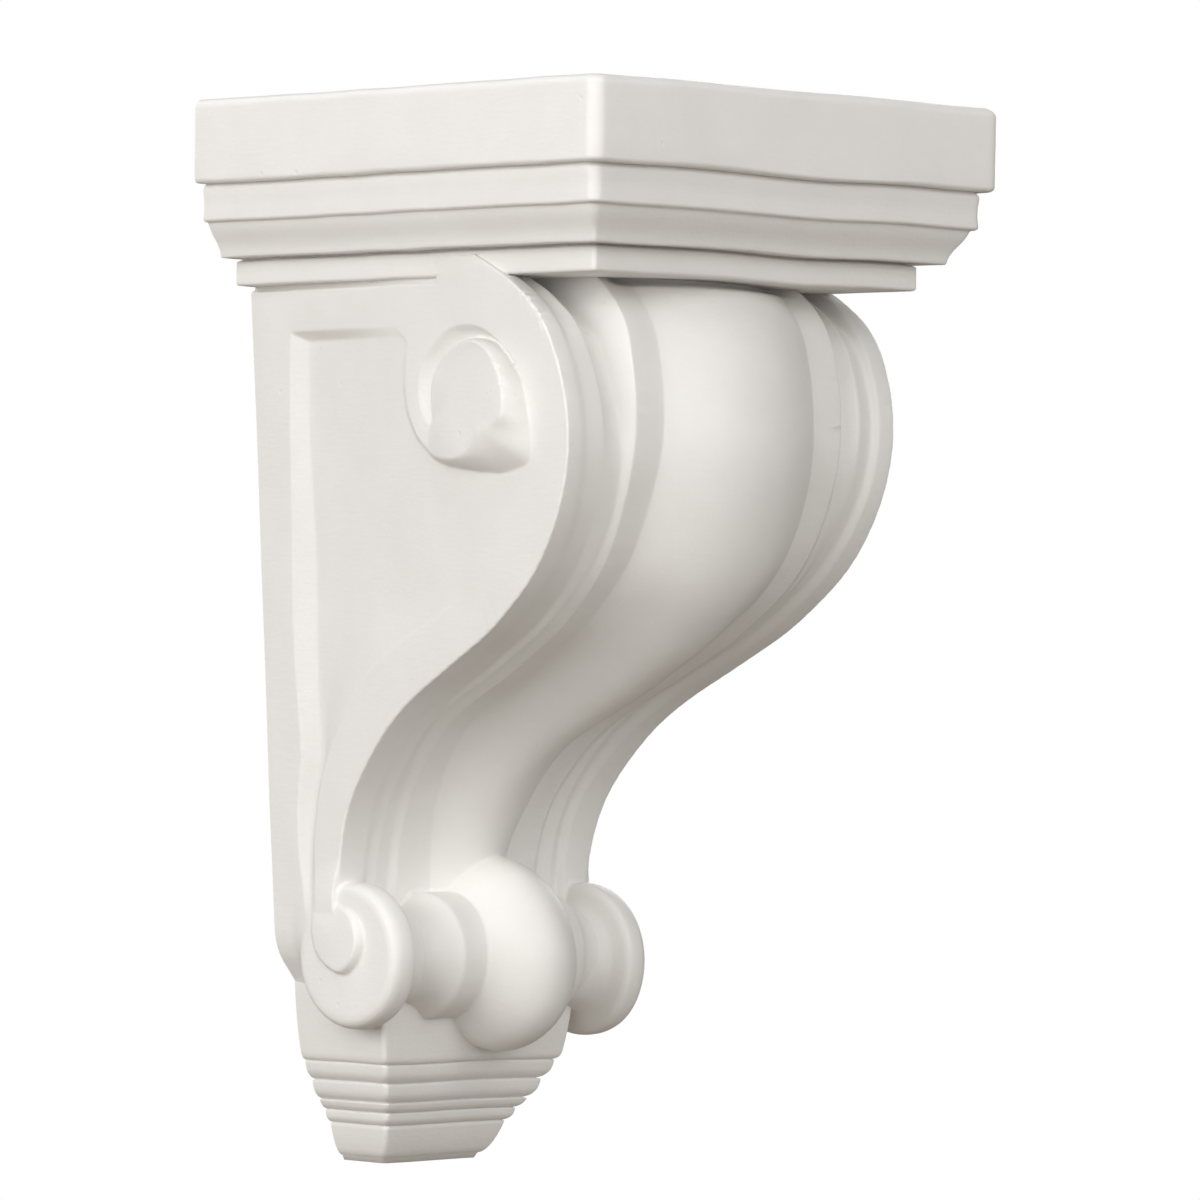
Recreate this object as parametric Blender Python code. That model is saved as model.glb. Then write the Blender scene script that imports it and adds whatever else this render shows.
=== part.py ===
"""Scrolled bracket corbel, cast in one piece and primed white.

A square cap of stepped mouldings carries the load, the body's front falls in one S-curve with a
raised roll down its middle, each side has a sunk panel and a spiral volute, and at the foot of the
S a turned roller lies between two small volutes above a stepped, inverted pyramid.

The design is written in millimetres as (x, forward, drop): x from the middle plane, forward out of
the wall, drop down from the top of the cap. The part itself is in metres, +Z up, with its origin
in the middle of the flat back, the front toward -Y.
"""
import math

import bmesh
import bpy
import numpy as np

MM = 0.001

# Overall sizes
HEIGHT = 190.5
WIDTH = 101.6
DEPTH = 101.6
BEHIND = 6.0             # how far each shape runs past the wall plane before the back is cut flat

# Cap: (inset from the slab's face, drop), from the top face down
SLAB_ROUND = 2.2
SLAB_DROP = 15.0
BAND_INSET = 2.1
BAND_DROP = 21.8
COVE_INSET = 6.6
COVE_DROP = 28.0
NECK_INSET = 10.3
CAP_DROP = 32.8
PLAN_ROUND = 2.4         # corner radius of the slab in plan
COVE_STEPS = 4

# Body: both sides are planes that narrow downward and flare toward the front
SIDE_TOP_HALF = 36.95    # half width at the wall, level with the cap's underside
SIDE_TAPER = 0.0668
SIDE_FLARE = 0.066
CHAMFER_DROP = 148.4     # below this the body narrows to the foot
BODY_BOTTOM = 158.0
CHAMFER_LOSS = ((CHAMFER_DROP, 0.0), (151.0, 0.4), (153.2, 1.3), (BODY_BOTTOM, 5.0))
EDGE_ROUND = 1.3         # rounding of the edge between each side and the front

# The S-curve of the front: forward reach at each drop
FRONT_CURVE = ((29.0, 62.0), (33.0, 70.0), (38.0, 77.2), (46.0, 82.3), (58.0, 85.4), (74.0, 82.0),
               (84.0, 75.4), (94.0, 63.0), (104.0, 44.7), (114.0, 31.2), (126.0, 22.1),
               (140.0, 18.8), (162.0, 18.8))

# Lines of the front relief, as half widths at each drop
QUIRK_HALF = ((33.0, 37.0), (58.0, 35.8), (66.0, 35.0), (117.0, 25.0), (140.0, 23.7))
RIDGE_HALF = ((33.0, 33.2), (58.0, 31.7), (117.0, 22.8), (140.0, 21.4))
FILLET_HALF = ((33.0, 24.9), (86.0, 24.4), (125.0, 18.0), (140.0, 17.4))
ROLL_HALF = ((33.0, 18.8), (84.0, 18.6), (112.0, 14.2), (134.0, 9.6), (140.0, 9.2))

# Heights of the front relief, square to the S-curve: rise is proud of the edge bands
QUIRK_RISE = ((33.0, -2.6), (55.0, -1.15), (140.0, -1.3))
RIDGE_RISE = ((33.0, -1.6), (55.0, -0.4), (140.0, -0.6))
FILLET_RISE = ((33.0, 3.4), (44.0, 3.2), (54.0, 1.6), (71.0, 0.9), (85.0, 1.5), (103.0, 1.6),
               (114.0, 0.1), (140.0, 0.0))
WALL_HEIGHT = ((36.0, 9.0), (44.0, 5.6), (58.0, 2.9), (68.0, 0.9), (80.0, 0.5), (140.0, 0.9))
CROWN_RISE = ((33.0, 5.2), (58.0, 5.0), (110.0, 3.8), (140.0, 2.4))
BAND_EDGE = 0.9          # slope of the edge band down into the quirk

# Sunk panel of each side: outline as (forward, drop)
PANEL_FRAME = 9.6
PANEL_BEVEL = 3.4
PANEL_TOP = 42.0
PANEL_BOTTOM = 137.0
PANEL_DEPTH = 1.5

# Upper volute on each side: centre, and radii by compass angle (0 front, 90 up, 180 wall)
VOLUTE = (60.5, 54.0)
VOLUTE_BASE = ((0, 14.5), (24, 12.6), (52, 11.3), (76, 10.4), (110, 9.9), (150, 10.4), (190, 11.8),
               (221, 12.9), (241, 13.0), (266, 12.6), (297, 14.7), (318, 17.4), (332, 17.3), (345, 16.2))
VOLUTE_FACE = ((0, 13.3), (24, 11.5), (52, 10.2), (88, 9.2), (110, 8.8), (150, 9.2), (190, 10.6),
               (221, 11.6), (241, 11.6), (266, 10.6), (300, 9.8), (331, 10.0), (345, 11.6))
VOLUTE_RISE = ((0, 5.0), (24, 3.8), (52, 2.4), (88, 1.3), (140, 0.8), (180, 0.8), (221, 1.8),
               (250, 3.4), (275, 4.6), (320, 5.2))
VOLUTE_EYE_RISE = 3.0
GROOVE_OUTER = ((-4, 15.2), (24, 13.4), (52, 12.2), (76, 12.6), (116, 13.4), (150, 14.2), (173, 14.2))
GROOVE_DEPTH = ((-4, 0.4), (24, 1.6), (76, 2.2), (116, 1.8), (173, 0.4))
GROOVE_WIDTH = 4.4
GROOVE_BEVEL = 0.6       # the groove's outer wall leans this much on each side of its line

# Roller between the small volutes, turned about an axis along X: (x, radius)
AXIS_FORWARD = 21.2
AXIS_DROP = 152.7
DISC_RADIUS = 13.6
DISC_FACE = 31.4
ROLLER = ((DISC_FACE, 6.0), (31.1, 11.4), (30.5, 12.8), (29.3, DISC_RADIUS), (26.8, DISC_RADIUS),
          (26.1, 13.0), (24.6, 10.2), (21.5, 8.2), (17.5, 7.6), (15.2, 8.4), (13.6, 10.4),
          (12.6, 11.4), (8.0, 11.6))
ROLLER_SIDES = 40
BALL_FORWARD = 24.3
BALL_DROP = 152.4
BALL_RADIUS = 17.7
BALL_HALF = 13.2         # half length of the ball along the roller
BALL_LEAN = 0.14         # how far the ball's underside leans forward, per mm of height

# Raised spiral eye on each small volute's face
EYE_RADII = ((0, 6.3), (90, 6.0), (160, 4.6), (200, 5.6), (270, 6.4))
EYE_RISE = ((0, 1.6), (60, 1.0), (110, 0.35), (200, 0.35), (250, 1.2), (310, 1.8))

# Foot: (half width, forward, drop) down the stepped, inverted pyramid
FOOT = ((24.2, 23.4, 150.0), (24.0, 23.2, 158.0), (22.9, 22.6, 166.0), (22.1, 22.0, 171.6),
        (21.1, 21.0, 172.3), (19.9, 19.9, 175.5), (19.3, 19.4, 176.0), (18.1, 18.3, 179.1),
        (17.5, 17.7, 179.6), (16.5, 16.8, 181.0), (16.0, 16.2, 181.4), (15.4, 15.5, 183.3),
        (14.8, 14.9, 183.8), (13.7, 13.2, 187.6), (12.6, 12.0, 189.6), (11.4, 10.8, HEIGHT))
FOOT_ROUND = 0.8         # corner radius of the foot in plan


def along(table, where):
    """Value at `where` on a smooth curve through the table's points."""
    keys = np.array([row[0] for row in table], float)
    values = np.array([row[1] for row in table], float)
    slopes = np.gradient(values, keys)
    where = np.clip(np.asarray(where, float), keys[0], keys[-1])
    low = np.clip(np.searchsorted(keys, where, side="right") - 1, 0, len(keys) - 2)
    step = keys[low + 1] - keys[low]
    part = (where - keys[low]) / step
    return (values[low] * (1 + 2 * part) * (1 - part) ** 2
            + values[low + 1] * part ** 2 * (3 - 2 * part)
            + step * (slopes[low] * part * (1 - part) ** 2 - slopes[low + 1] * part ** 2 * (1 - part)))


def straight(table, where):
    """Value at `where` on straight lines between the table's points."""
    return np.interp(where, [row[0] for row in table], [row[1] for row in table])


def round_table(table, angle):
    """Value at a compass angle, on straight lines between the table's angles, closed round."""
    return np.interp(angle, [row[0] for row in table], [row[1] for row in table], period=360)


def side_half(forward, drop):
    """Half width of the body on its side plane."""
    return SIDE_TOP_HALF - SIDE_TAPER * (drop - CAP_DROP) + SIDE_FLARE * forward


def place(x, forward, drop):
    """A design point in millimetres as a point of the part in metres."""
    return (x * MM, -forward * MM, (HEIGHT / 2 - drop) * MM)


def new_object(name, mesh):
    """A new object of the given mesh, with its doubles merged and its faces pointing out."""
    build = bmesh.new()
    build.from_mesh(mesh)
    bmesh.ops.remove_doubles(build, verts=build.verts, dist=1e-7)
    bmesh.ops.recalc_face_normals(build, faces=build.faces)
    build.to_mesh(mesh)
    build.free()
    return bpy.data.objects.new(name, mesh)


def loft(name, rings):
    """A closed solid through rings of design points, each ring the same number of points."""
    points = [place(*point) for ring in rings for point in ring]
    count = len(rings[0])
    faces = []
    for row in range(len(rings) - 1):
        for column in range(count):
            beside = (column + 1) % count
            faces.append((row * count + column, row * count + beside,
                          (row + 1) * count + beside, (row + 1) * count + column))
    faces.append(tuple(range(count)))
    faces.append(tuple(range((len(rings) - 1) * count, len(rings) * count)))
    mesh = bpy.data.meshes.new(name)
    mesh.from_pydata(points, [], faces)
    return new_object(name, mesh)


def plan_ring(half, forward, drop, radius):
    """A rectangle in plan from behind the wall to its front, with rounded front corners."""
    turns = (0.0, 30.0, 60.0, 90.0)
    right = [(half, -BEHIND, drop)]
    for turn in turns:
        angle = math.radians(turn)
        right.append((half - radius + radius * math.cos(angle),
                      forward - radius + radius * math.sin(angle), drop))
    left = [(-x, out, level) for x, out, level in reversed(right)]
    return right + left


def cap_profile():
    """The cap's profile as (inset, drop): rounded slab, band, cove and neck band."""
    profile = []
    for turn in (90.0, 60.0, 30.0, 0.0):
        angle = math.radians(turn)
        profile.append((SLAB_ROUND * (1 - math.cos(angle)), SLAB_ROUND * (1 - math.sin(angle))))
    profile += [(0.0, SLAB_DROP - 1.2), (0.5, SLAB_DROP - 0.3), (BAND_INSET, SLAB_DROP + 0.3),
                (BAND_INSET + 0.4, BAND_DROP - 0.4)]
    for step in range(COVE_STEPS + 1):
        angle = math.radians(90.0 * step / COVE_STEPS)
        profile.append((BAND_INSET + 0.9 + (COVE_INSET - BAND_INSET - 0.9) * math.sin(angle),
                        BAND_DROP + (COVE_DROP - BAND_DROP) * (1 - math.cos(angle))))
    profile += [(NECK_INSET, COVE_DROP + 0.3), (NECK_INSET + 0.1, CAP_DROP - 0.5),
                (NECK_INSET + 0.6, CAP_DROP)]
    return profile


def make_cap():
    """The square cap: the profile carried round three sides."""
    rings = []
    for inset, drop in cap_profile():
        radius = max(0.6, PLAN_ROUND - 0.25 * inset)
        rings.append(plan_ring(WIDTH / 2 - inset, DEPTH - inset, drop, radius))
    return loft("cap", rings)


def body_half_ring(drop):
    """Right half of the body's section at one drop, from the wall to the middle plane."""
    front = float(along(FRONT_CURVE, drop))
    slope = float(along(FRONT_CURVE, drop + 0.5) - along(FRONT_CURVE, drop - 0.5))
    tilt = math.sqrt(1.0 + min(slope * slope, 4.0))
    loss = float(straight(CHAMFER_LOSS, drop))
    back = side_half(-BEHIND, drop) - loss
    side = side_half(front - EDGE_ROUND, drop) - loss
    edge = side_half(front, drop) - loss
    quirk = min(float(along(QUIRK_HALF, drop)), edge - 2 * EDGE_ROUND)
    ridge = float(along(RIDGE_HALF, drop))
    fillet = float(along(FILLET_HALF, drop))
    roll = float(along(ROLL_HALF, drop))
    fillet_rise = float(straight(FILLET_RISE, drop))
    base_rise = fillet_rise - float(straight(WALL_HEIGHT, drop))
    ridge_rise = float(straight(RIDGE_RISE, drop))
    crown = float(straight(CROWN_RISE, drop))
    points = [(back, -BEHIND), (side, front - EDGE_ROUND),
              (edge - 0.3 * EDGE_ROUND, front - 0.3 * EDGE_ROUND), (edge - EDGE_ROUND, front),
              (quirk + BAND_EDGE, front),
              (quirk, front + float(straight(QUIRK_RISE, drop)) * tilt),
              (ridge, front + ridge_rise * tilt),
              ((ridge + fillet) / 2, front + (0.35 * ridge_rise + 0.65 * base_rise) * tilt),
              (fillet + 0.5, front + base_rise * tilt),
              (fillet, front + fillet_rise * tilt)]
    for share in (1.0, 0.75, 0.5, 0.25, 0.0):
        points.append((roll * share, front + (fillet_rise + crown * (1 - share ** 2)) * tilt))
    return [(x, out, drop) for x, out in points]


def make_body():
    """The body: sections from inside the cap down to the foot."""
    drops = np.concatenate([[CAP_DROP - 3.0, CAP_DROP + 0.5], np.arange(36.0, 62.0, 3.2),
                            np.arange(64.0, 88.0, 3.6), np.arange(88.0, 118.0, 2.8),
                            np.arange(118.5, 146.0, 4.4), [CHAMFER_DROP, 151.0, 153.2, BODY_BOTTOM]])
    rings = []
    for drop in drops:
        right = body_half_ring(float(drop))
        left = [(-x, out, level) for x, out, level in reversed(right[:-1])]
        rings.append(right + left)
    return loft("body", rings)


def make_foot():
    """The stepped foot."""
    rings = [plan_ring(half, forward, drop, FOOT_ROUND) for half, forward, drop in FOOT]
    return loft("foot", rings)


def make_roller():
    """The turned roller with a small volute's disc at each end."""
    profile = list(ROLLER) + [(-x, radius) for x, radius in reversed(ROLLER)]
    rings = []
    for x, radius in profile:
        ring = []
        for side in range(ROLLER_SIDES):
            angle = 2 * math.pi * side / ROLLER_SIDES
            ring.append((x, AXIS_FORWARD + radius * math.cos(angle),
                         AXIS_DROP + radius * math.sin(angle)))
        rings.append(ring)
    return loft("roller", rings)


def make_ball():
    """The big bead in the middle of the roller, leaning forward at its underside."""
    build = bmesh.new()
    bmesh.ops.create_uvsphere(build, u_segments=36, v_segments=20, radius=1.0)
    for vertex in build.verts:
        x, out, up = vertex.co.z * BALL_HALF, vertex.co.x * BALL_RADIUS, vertex.co.y * BALL_RADIUS
        vertex.co = place(x, BALL_FORWARD + out - BALL_LEAN * up, BALL_DROP - up)
    mesh = bpy.data.meshes.new("ball")
    build.to_mesh(mesh)
    build.free()
    return new_object("ball", mesh)


def polar_solid(name, centre, side, rings, angles):
    """A closed solid on one side of the body from rings of (radius by angle, height by angle).

    Heights are square to the middle plane, measured from the side plane outward.
    """
    shells = []
    for radius_of, height_of in rings:
        ring = []
        for angle in angles:
            turn = math.radians(angle)
            forward = centre[0] + radius_of(angle) * math.cos(turn)
            drop = centre[1] - radius_of(angle) * math.sin(turn)
            ring.append((side * (side_half(forward, drop) + height_of(angle)), forward, drop))
        shells.append(ring)
    return loft(name, shells)


def make_volute(side):
    """The upper volute: a face that rises as it winds in, falling steeply to its outer line."""
    def face(share, lift):
        """A ring on the face: its share of the way out, and the height the eye adds there."""
        return (lambda angle: share * round_table(VOLUTE_FACE, angle),
                lambda angle: lift + (1 - lift / VOLUTE_EYE_RISE) * round_table(VOLUTE_RISE, angle))

    def flank(share, drop):
        """A ring on the flank: its share of the way from the face's rim to the base."""
        return (lambda angle: ((1 - share) * round_table(VOLUTE_FACE, angle)
                               + share * round_table(VOLUTE_BASE, angle)),
                lambda angle: drop * round_table(VOLUTE_RISE, angle))

    rings = [face(0.02, VOLUTE_EYE_RISE), face(0.35, 0.75 * VOLUTE_EYE_RISE),
             face(0.7, 0.35 * VOLUTE_EYE_RISE), face(0.97, 0.0), flank(0.35, 0.85), flank(0.75, 0.5)]
    for height in (-0.4, -3.5):
        rings.append((lambda angle: round_table(VOLUTE_BASE, angle), lambda angle, height=height: height))
    return polar_solid("volute", VOLUTE, side, rings, np.arange(0.0, 360.0, 9.0))


def make_groove(side):
    """Cutter of the crescent groove between the volute's face and the band round it."""
    rings = []
    for angle in np.linspace(GROOVE_OUTER[0][0], GROOVE_OUTER[-1][0], 25):
        turn = math.radians(angle)
        outer = float(straight(GROOVE_OUTER, angle))
        depth = float(straight(GROOVE_DEPTH, angle))
        ring = []
        for radius, height in ((outer - GROOVE_WIDTH, 2.0), (outer - GROOVE_WIDTH, -depth),
                               (outer - GROOVE_BEVEL, -depth), (outer, 0.0),
                               (outer + GROOVE_BEVEL, 2.0)):
            forward = VOLUTE[0] + radius * math.cos(turn)
            drop = VOLUTE[1] - radius * math.sin(turn)
            ring.append((side * (side_half(forward, drop) + height), forward, drop))
        rings.append(ring)
    return loft("groove", rings)


def make_eye(side):
    """The raised spiral eye on a small volute's face."""
    angles = np.arange(0.0, 360.0, 15.0)
    centre = (AXIS_FORWARD - 0.6, AXIS_DROP - 2.6)
    face = DISC_FACE - side_half(*centre)
    rings = [
        (lambda angle: 0.2, lambda angle: face + 1.0),
        (lambda angle: round_table(EYE_RADII, angle) - 0.5,
         lambda angle: face + round_table(EYE_RISE, angle)),
        (lambda angle: round_table(EYE_RADII, angle), lambda angle: face - 1.6),
    ]
    return polar_solid("eye", centre, side, rings, angles)


def panel_front(drop):
    """How far forward the sunk panel's floor runs before it is flush with the side plane."""
    reach = float(along(FRONT_CURVE, drop)) - 3.0
    upper = VOLUTE[0] - 20.5
    if drop < VOLUTE[1] + 14.0:
        reach = min(reach, upper)
    return max(reach, PANEL_FRAME + PANEL_BEVEL + 1.5)


def make_panel(side):
    """Cutter of the sunk panel: deepest by its frame, running out flush toward the front."""
    rings = []
    for drop in np.concatenate([[PANEL_TOP - 0.8, PANEL_TOP + 0.7], np.arange(48.0, PANEL_BOTTOM, 5.0),
                                [PANEL_BOTTOM]]):
        drop = float(drop)
        deep = -0.05 if drop < PANEL_TOP else PANEL_DEPTH * min(1.0, (PANEL_BOTTOM + 1.0 - drop) / 18.0)
        reach = panel_front(drop)
        ring = []
        for forward, height in ((PANEL_FRAME - 1.0, 2.0), (PANEL_FRAME - 1.0, 0.4),
                                (PANEL_FRAME + PANEL_BEVEL, -deep), (reach, 0.15), (reach, 2.0)):
            ring.append((side * (side_half(forward, drop) + height), forward, drop))
        rings.append(ring)
    return loft("panel", rings)


def make_wall():
    """Cutter that leaves the back flat on the wall plane."""
    build = bmesh.new()
    bmesh.ops.create_cube(build, size=1.0)
    for vertex in build.verts:
        vertex.co = (vertex.co.x * 2 * WIDTH * MM, (vertex.co.y + 0.5) * 4 * BEHIND * MM,
                     vertex.co.z * 1.5 * HEIGHT * MM)
    mesh = bpy.data.meshes.new("wall")
    build.to_mesh(mesh)
    build.free()
    return new_object("wall", mesh)


def primed_white():
    """Material of the whole casting: matt white primer, slightly warm."""
    material = bpy.data.materials.new("white_primer")
    material.use_nodes = True
    shader = material.node_tree.nodes["Principled BSDF"]
    shader.inputs["Base Color"].default_value = (0.83, 0.815, 0.785, 1.0)
    shader.inputs["Roughness"].default_value = 0.6
    shader.inputs["Metallic"].default_value = 0.0
    return material


def shape_with(target, tool, operation, tools):
    """Join or cut the target with a tool, which stays in the file as a wire guide."""
    tools.objects.link(tool)
    tool.hide_render = True
    tool.display_type = "WIRE"
    modifier = target.modifiers.new(tool.name, "BOOLEAN")
    modifier.operation = operation
    modifier.solver = "EXACT"
    modifier.object = tool


def main():
    for old in list(bpy.data.objects):
        bpy.data.objects.remove(old)
    parts = bpy.data.collections.new("corbel")
    tools = bpy.data.collections.new("corbel_cutters")
    bpy.context.scene.collection.children.link(parts)
    bpy.context.scene.collection.children.link(tools)

    corbel = make_body()
    corbel.name = "corbel"
    corbel.data.name = "corbel"
    corbel.data.materials.append(primed_white())
    parts.objects.link(corbel)
    for side in (1, -1):
        shape_with(corbel, make_panel(side), "DIFFERENCE", tools)
        shape_with(corbel, make_groove(side), "DIFFERENCE", tools)
        shape_with(corbel, make_volute(side), "UNION", tools)
    for joined in (make_cap(), make_foot(), make_roller(), make_ball()):
        shape_with(corbel, joined, "UNION", tools)
    for side in (1, -1):
        shape_with(corbel, make_eye(side), "UNION", tools)
    shape_with(corbel, make_wall(), "DIFFERENCE", tools)


main()
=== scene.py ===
"""Scrolled bracket corbel, cast in one piece and primed matt white.

The casting is drawn in millimetres as (x, forward, drop): x from the middle plane, forward out of the
wall, drop down from the top of the cap. Each form is a closed skin worked out on a grid of two
parameters. The skins are fused into one casting, which takes the place of the corbel node.
"""
import math

import bmesh
import bpy
import numpy as np
from mathutils import Matrix, Vector


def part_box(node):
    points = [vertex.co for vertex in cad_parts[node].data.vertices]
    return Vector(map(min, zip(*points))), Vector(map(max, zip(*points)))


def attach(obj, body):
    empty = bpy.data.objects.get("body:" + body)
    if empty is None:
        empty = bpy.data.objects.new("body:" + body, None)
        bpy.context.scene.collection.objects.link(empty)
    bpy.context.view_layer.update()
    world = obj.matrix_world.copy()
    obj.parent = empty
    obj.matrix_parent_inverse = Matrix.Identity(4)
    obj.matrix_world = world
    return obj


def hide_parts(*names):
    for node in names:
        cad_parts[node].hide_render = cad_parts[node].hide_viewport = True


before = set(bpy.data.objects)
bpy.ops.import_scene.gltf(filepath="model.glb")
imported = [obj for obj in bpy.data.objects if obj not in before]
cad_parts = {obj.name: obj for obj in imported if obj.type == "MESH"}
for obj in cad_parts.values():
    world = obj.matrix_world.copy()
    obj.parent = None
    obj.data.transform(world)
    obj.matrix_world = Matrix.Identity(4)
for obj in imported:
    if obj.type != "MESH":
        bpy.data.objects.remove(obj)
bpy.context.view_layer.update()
low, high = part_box("corbel")

MM = 0.001
WIDTH = (high.x - low.x) / MM
DEPTH = (high.y - low.y) / MM
HEIGHT = (high.z - low.z) / MM
TOP = high.z / MM

# How finely the casting is made
GRID = 0.34              # distance between grid points on the body
VOXEL = 0.28             # cell of the skin that fuses the forms
TRIANGLES = 148000       # most triangles of the fused skin
BACK_INSET = 0.02        # the fused skin's back lies this little inside the cap's and the foot's
BACK_SPARE = 1.2         # the body is made this much longer behind the wall and then cut
BACK_HAIR = 0.12         # first step of a ring from a crisp back corner

# Cap: (inset from the slab's face, drop), from the top face down
SLAB_DROP = 15.0
SLAB_TOP_ROUND = 1.8
SLAB_FOOT_ROUND = 0.9
BAND_INSET = 2.1
BAND_DROP = 21.8
BAND_ROUND = (0.65, 0.6)
COVE = ((2.75, 21.8), (3.25, 21.85), (3.45, 22.1), (3.6, 22.5), (3.9, 23.1), (4.4, 23.9), (5.0, 24.7),
        (5.6, 25.5), (6.1, 26.4), (6.4, 27.2), (6.5, 27.7), (6.7, 28.0))
COVE_DROP = 28.0
NECK_INSET = 10.3
NECK_ROUND = 0.6
CAP_DROP = 32.8
CORNER_ROUND = 2.6           # radius of the slab's upright corners
CORNER_LOSS = 0.28           # the corners get sharper by this much per mm of inset
LEAST_CORNER = 0.8
CAP_CORE = 30.0              # inset where the cap's top and underside are closed
BAND_CREASE = (0.6, 0.9)     # depth and height of the shadowed crease above the band
NECK_CREASE = (1.6, 0.6)     # the same above the neck

# Body: both sides are planes that narrow downward and flare toward the front
SIDE_TOP_HALF = 36.95
SIDE_TAPER = 0.0668
SIDE_FLARE = 0.066
CHAMFER_LOSS = ((148.4, 0.0), (151.0, 0.4), (153.2, 1.3), (158.0, 5.0))
EDGE_ROUND = 0.25
NECK_GROOVE = 1.1        # dark groove where the side goes in under the neck
NECK_GROOVE_EDGE = (0.45, 1.15)     # it runs out between these drops below the cap
NECK_GROOVE_END = 51.4   # it stops at the volute's leaf
NECK_GROOVE_FADE = (0.5, 0.7)       # over this much before and after its end
BODY_TOP = 29.0
BODY_BOTTOM = 158.0

# The S-curve of the front: forward reach at each drop
FRONT_CURVE = ((29.0, 62.0), (33.0, 70.0), (38.0, 77.2), (46.0, 82.6), (58.0, 85.4), (66.0, 84.7),
               (74.0, 82.0), (82.0, 77.0), (90.0, 68.7), (98.0, 56.1), (106.0, 41.4), (114.0, 31.1),
               (122.0, 24.4), (130.0, 20.6), (140.0, 18.8), (160.0, 18.8))

# Lines of the front relief, as half widths at each drop
QUIRK_HALF = ((29.0, 37.3), (40.0, 36.6), (58.0, 35.75), (70.0, 34.5), (85.0, 31.8), (101.0, 28.4),
              (117.0, 25.0), (136.0, 23.8), (160.0, 23.4))
RIDGE_HALF = ((29.0, 33.4), (58.0, 31.7), (85.0, 28.6), (117.0, 22.8), (136.0, 21.6), (160.0, 21.2))
FILLET_HALF = ((29.0, 24.7), (85.0, 24.4), (100.0, 22.1), (115.0, 19.5), (128.0, 17.8), (160.0, 17.2))
ROLL_HALF = ((29.0, 18.8), (60.0, 18.8), (84.0, 18.8), (95.0, 16.6), (109.0, 14.3), (121.0, 12.2),
             (136.0, 9.4), (160.0, 8.8))

# Heights of the front relief, square to the S-curve: proud of the edge bands where positive
QUIRK_RISE = ((29.0, -2.8), (36.0, -2.3), (42.0, -1.1), (55.0, -0.9), (84.0, -0.9), (96.0, -0.7),
              (112.0, -0.8), (160.0, -1.1))
RIDGE_RISE = ((29.0, -0.7), (42.0, -0.4), (55.0, -0.3), (160.0, -0.45))
FILLET_RISE = ((29.0, 3.6), (42.0, 3.5), (47.0, 2.6), (55.0, 1.5), (64.0, 1.2), (71.0, 0.9), (80.0, 1.4),
               (103.0, 1.7), (109.0, 0.6), (114.0, 0.1), (160.0, 0.0))
WALL_HEIGHT = ((29.0, 7.4), (38.0, 7.0), (44.0, 5.6), (51.0, 4.2), (58.0, 2.8), (65.0, 1.4),
               (72.0, 0.9), (90.0, 0.8), (160.0, 0.9))
CROWN_RISE = ((29.0, 5.6), (56.0, 6.0), (70.0, 7.2), (82.0, 8.3), (92.0, 7.8), (102.0, 6.8),
              (112.0, 6.8), (124.0, 6.6), (136.0, 5.4), (160.0, 4.0))

# Widths of the front relief: how far the wall leans, and how wide the band's edge down to the quirk is
WALL_LEAN = ((29.0, 2.6), (44.0, 2.0), (58.0, 1.2), (76.0, 1.2), (92.0, 3.0), (110.0, 3.0),
             (124.0, 1.4), (160.0, 1.2))
BAND_EDGE = ((29.0, 1.2), (80.0, 1.6), (94.0, 3.2), (112.0, 3.0), (128.0, 1.4), (160.0, 1.2))

# How open the primer leaves the quirk on each half, from 0 to 1: it fills most of the left one
QUIRK_OPEN_RIGHT = ((29.0, 1.0), (160.0, 1.0))
QUIRK_OPEN_LEFT = ((29.0, 1.0), (37.0, 0.9), (45.0, 0.35), (112.0, 0.3), (130.0, 0.6), (160.0, 0.8))
QUIRK_FILL_REACH = 1.2   # a filled quirk's edge is this much wider
QUIRK_LAND = 0.8         # least flat left on the edge band

# How far the roll's round section is blended with a softer one where the front hollows
ROLL_BLEND = ((29.0, 0.0), (80.0, 0.0), (96.0, 1.0), (106.0, 1.0), (122.0, 0.0), (160.0, 0.0))
ROLL_BLEND_REACH = 1.6   # there the roll's foot reaches this much further out

# Dark gap where the roll goes in under the cap
GAP_DEPTH = 3.2
GAP_EDGE = (0.5, 1.6)    # it runs out between these drops below the cap
GAP_ENDS = (18.0, 24.0)  # and between these half widths

# Sunk panel of each side: its bevel's outer and inner line, and the line where its floor runs out
PANEL_OUTER = ((40.0, 10.6), (52.0, 10.0), (64.0, 9.6), (76.0, 9.0), (108.0, 9.0), (118.0, 9.0),
               (123.0, 8.2), (130.0, 7.8), (137.0, 8.2), (142.0, 9.2), (148.0, 11.4))
PANEL_INNER = ((40.0, 13.9), (60.0, 13.2), (68.0, 13.5), (83.0, 13.8), (105.0, 13.2), (115.6, 13.0),
               (119.7, 12.1), (124.2, 10.8), (130.1, 9.9), (135.2, 9.7), (140.3, 10.3), (148.0, 12.6))
PANEL_RUN_OUT = ((40.0, 50.0), (54.0, 50.0), (66.0, 58.0), (76.0, 62.0), (84.0, 58.0), (89.6, 52.8),
                 (95.6, 39.5), (101.0, 30.0), (105.3, 24.8), (108.7, 21.7), (113.0, 18.6),
                 (118.0, 15.6), (123.0, 13.4), (129.0, 12.1), (134.0, 11.5), (140.0, 11.9),
                 (148.0, 14.2))
PANEL_DEPTH = ((40.0, 1.9), (118.0, 1.9), (126.0, 1.6), (132.0, 1.3), (137.0, 0.9), (142.0, 0.5),
               (147.0, 0.0))
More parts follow.
